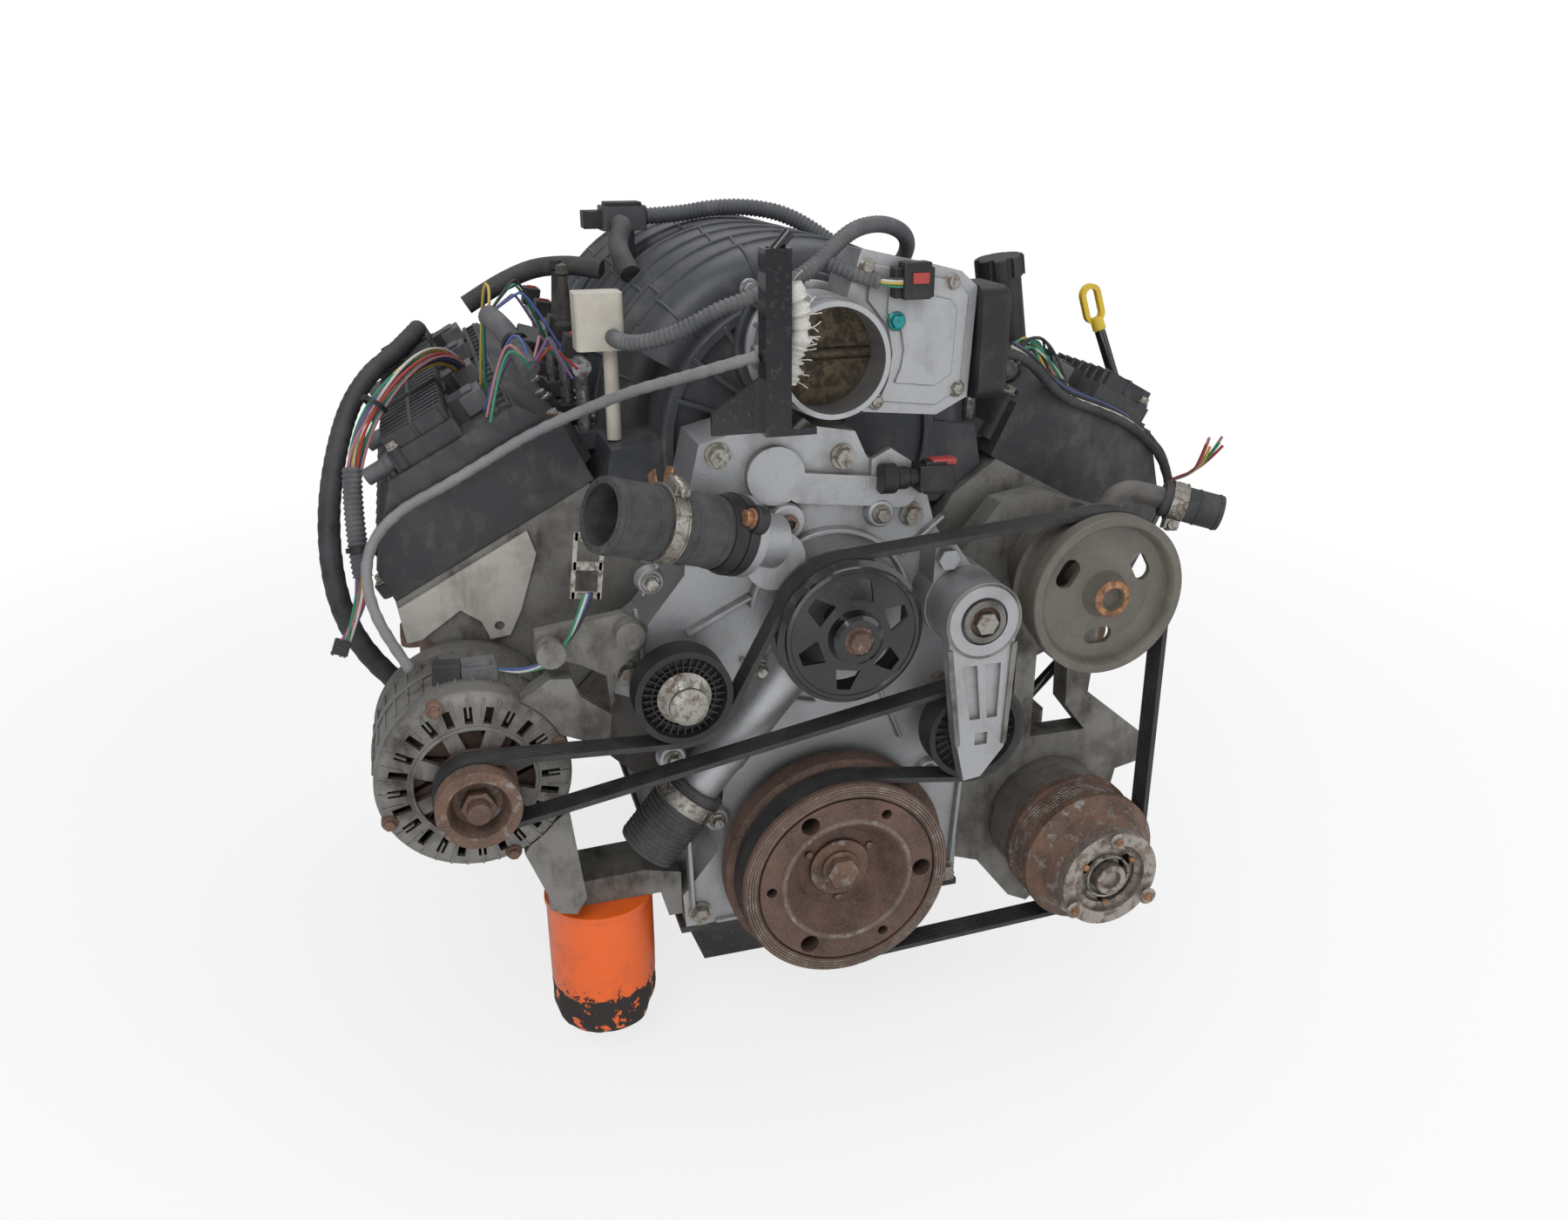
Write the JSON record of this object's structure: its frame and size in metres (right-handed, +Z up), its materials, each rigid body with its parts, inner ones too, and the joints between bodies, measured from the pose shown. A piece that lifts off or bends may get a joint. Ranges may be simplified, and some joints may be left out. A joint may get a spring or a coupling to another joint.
{
  "type": "v8 engine",
  "caption": "Complete V8 engine with belt-driven accessories, arched intake manifold, throttle body, coils and spin-on oil filter.",
  "frame": {"origin": "on the crankshaft's centre line at the rear face of the flywheel flange", "axes": "+Z up in the installed position, +Y to the rear along the crankshaft, +X to the right seen from the front"},
  "size_m": [0.7635, 0.674, 0.7016],
  "materials": {
    "block_iron": "as cast, dusty",
    "forged_steel": "machined",
    "piston_alloy": "machined",
    "belt_rubber": "ribbed, worn",
    "rusty_iron": "surface rust",
    "rusty_steel": "light rust",
    "cast_alloy": "fine cast, bright",
    "dirty_alloy": "cast, dirty",
    "black_painted": "gloss black",
    "black_plastic": "moulded",
    "zinc_steel": "zinc plated",
    "steel_pump": "dusty",
    "grey_pulley": "dusty matt",
    "clutch_steel": "worn with rust",
    "gasket_grey": "pressed sheet",
    "pan_black": "semi-gloss",
    "filter_orange": "gloss enamel, scraped",
    "cover_plastic": "moulded, dusty",
    "coil_plastic": "moulded",
    "manifold_plastic": "moulded, satin",
    "plate_brass": "dark bronze",
    "rail_steel": "drawn tube",
    "hose_rubber": "dull",
    "yellow_plastic": "moulded",
    "cord_black": "taped loom",
    "cord_grey": "dusty cable",
    "conduit_grey": "corrugated, dusty",
    "block_white": "moulded, dirty",
    "plate_pale": "cast, speckled"
  },
  "bodies": {
    "engine": {"accessory_bracket": "dirty_alloy", "alternator_bracket": "dirty_alloy", "alternator_housing": "dirty_alloy", "block": "block_iron", "cable_front": "cord_grey", "coils": "coil_plastic", "compressor": "dirty_alloy", "conduit_front": "conduit_grey", "conduit_top": "conduit_grey", "cover_mounts": "block_white", "dipstick_tube": "black_painted", "drive_belt": "belt_rubber", "exhaust_manifolds": "rusty_iron", "filter_adapter": "dirty_alloy", "front_bolts": "zinc_steel", "front_stay": "black_painted", "fuel_rails": "rail_steel", "gaskets": "gasket_grey", "head_left": "dirty_alloy", "head_plate": "plate_pale", "head_right": "dirty_alloy", "hose_clamps": "zinc_steel", "hose_neck": "black_plastic", "hoses": "hose_rubber", "intake_manifold": "manifold_plastic", "loom_left": "cord_black", "loom_right": "cord_black", "main_caps": "block_iron", "oil_filler": "black_plastic", "oil_filter": "filter_orange", "oil_pan": "pan_black", "pistons": "piston_alloy", "pump_housing": "cast_alloy", "rocker_covers": "cover_plastic", "steering_pump": "steel_pump", "tensioner_case": "cast_alloy", "thermostat_housing": "cast_alloy", "throttle_actuator": "black_plastic", "throttle_body": "cast_alloy", "timing_chain": "forged_steel", "timing_cover": "cast_alloy"},
    "crank": {"crankshaft": "forged_steel", "damper": "rusty_iron", "crank_bolt": "rusty_steel", "crank_sprocket": "forged_steel"},
    "cam": {"camshaft": "forged_steel", "cam_sprocket": "forged_steel"},
    "water_pump": {"pump_pulley": "black_painted", "pump_rotor": "rusty_steel"},
    "steering_drive": {"steering_pulley": "grey_pulley"},
    "clutch": {"clutch_pulley": "rusty_steel", "clutch_hub": "clutch_steel"},
    "alternator": {"alternator_rotor": "rusty_iron", "alternator_pulley": "rusty_steel"},
    "idler": {"idler_pulley": "black_plastic"},
    "tensioner": {"tensioner_arm": "cast_alloy"},
    "tensioner_wheel": {"tensioner_pulley": "black_plastic"},
    "throttle": {"throttle_plate": "plate_brass"},
    "filler_cap": {"oil_cap": "black_plastic"},
    "stick": {"dipstick": "yellow_plastic"}
  },
  "joints": [
    {"name": "crank_turn", "type": "hinge", "parent": "engine", "child": "crank", "pos_m": [0, 0, 0], "axis": [0, 1, 0], "continuous": true},
    {"name": "cam_turn", "type": "hinge", "parent": "engine", "child": "cam", "pos_m": [0, 0, 0.16], "axis": [0, 1, 0], "continuous": true},
    {"name": "water_pump_turn", "type": "hinge", "parent": "engine", "child": "water_pump", "pos_m": [0, 0, 0.222], "axis": [0, 1, 0], "continuous": true},
    {"name": "steering_pump_turn", "type": "hinge", "parent": "engine", "child": "steering_drive", "pos_m": [0.2175, 0, 0.231], "axis": [0, 1, 0], "continuous": true},
    {"name": "clutch_turn", "type": "hinge", "parent": "engine", "child": "clutch", "pos_m": [0.227, 0, -0.019], "axis": [0, 1, 0], "continuous": true},
    {"name": "alternator_turn", "type": "hinge", "parent": "engine", "child": "alternator", "pos_m": [-0.29, 0, 0.1205], "axis": [0, 1, 0], "continuous": true},
    {"name": "idler_turn", "type": "hinge", "parent": "engine", "child": "idler", "pos_m": [-0.132, 0, 0.183], "axis": [0, 1, 0], "continuous": true},
    {"name": "tensioner_swing", "type": "hinge", "parent": "engine", "child": "tensioner", "pos_m": [0.1045, 0, 0.225], "axis": [0, 1, 0], "range_deg": [0, 15], "stiffness_Nm_per_rad": 40, "deforming": ["drive_belt"]},
    {"name": "tensioner_wheel_turn", "type": "hinge", "parent": "tensioner", "child": "tensioner_wheel", "pos_m": [0.112, 0, 0.117], "axis": [0, 1, 0], "continuous": true},
    {"name": "throttle_plate_turn", "type": "hinge", "parent": "engine", "child": "throttle", "pos_m": [0, -0.549, 0.422], "axis": [1, 0, 0], "range_deg": [0, 80], "stiffness_Nm_per_rad": 0.4},
    {"name": "oil_cap_turn", "type": "hinge", "parent": "engine", "child": "filler_cap", "pos_m": [0.24213, -0.385, 0.38985], "axis": [-0.165, 0, 0.9863], "range_deg": [0, 90]},
    {"name": "dipstick_pull", "type": "slide", "parent": "engine", "child": "stick", "axis": [-0.3242, 0.1621, 0.932], "range_m": [0, 0.084]}
  ],
  "couplings": [
    {"joint": "cam_turn", "follows": "crank_turn", "ratio": 0.5},
    {"joint": "water_pump_turn", "follows": "crank_turn", "ratio": 1.5636},
    {"joint": "steering_pump_turn", "follows": "crank_turn", "ratio": 1.3543},
    {"joint": "clutch_turn", "follows": "crank_turn", "ratio": 1.4828},
    {"joint": "alternator_turn", "follows": "crank_turn", "ratio": 3.1273},
    {"joint": "idler_turn", "follows": "crank_turn", "ratio": -2.2632},
    {"joint": "tensioner_wheel_turn", "follows": "crank_turn", "ratio": -2.0976}
  ]
}
